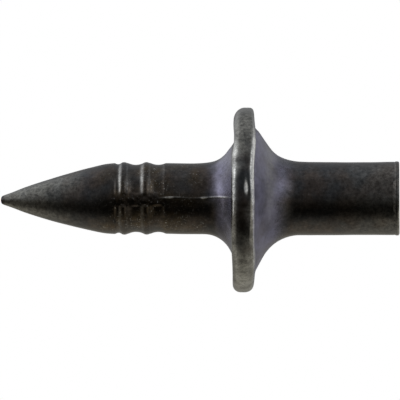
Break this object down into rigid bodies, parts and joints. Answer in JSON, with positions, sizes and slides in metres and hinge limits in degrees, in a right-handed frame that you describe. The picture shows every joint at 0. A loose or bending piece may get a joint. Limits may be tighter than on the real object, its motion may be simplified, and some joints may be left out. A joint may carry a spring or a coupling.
{
  "type": "flanged drive pin",
  "caption": "Blackened steel drive pin with an ogive point, pressed rings on its shank, a thick round collar and a plain drive stub.",
  "frame": {"origin": "centre of the flat drive end of the stub, on which the pin stands", "axes": "+Z along the pin's axis towards its point; the parting lines of the forging dies run down the shank at +Y and -Y"},
  "size_m": [0.0119, 0.0118, 0.0256],
  "materials": {
    "blackened_steel": "dark oxide and oil over forged steel, satin, a little bluish on the collar's hollows and brown on the shank"
  },
  "bodies": {
    "root": {"drive_pin": "blackened_steel"}
  },
  "joints": []
}
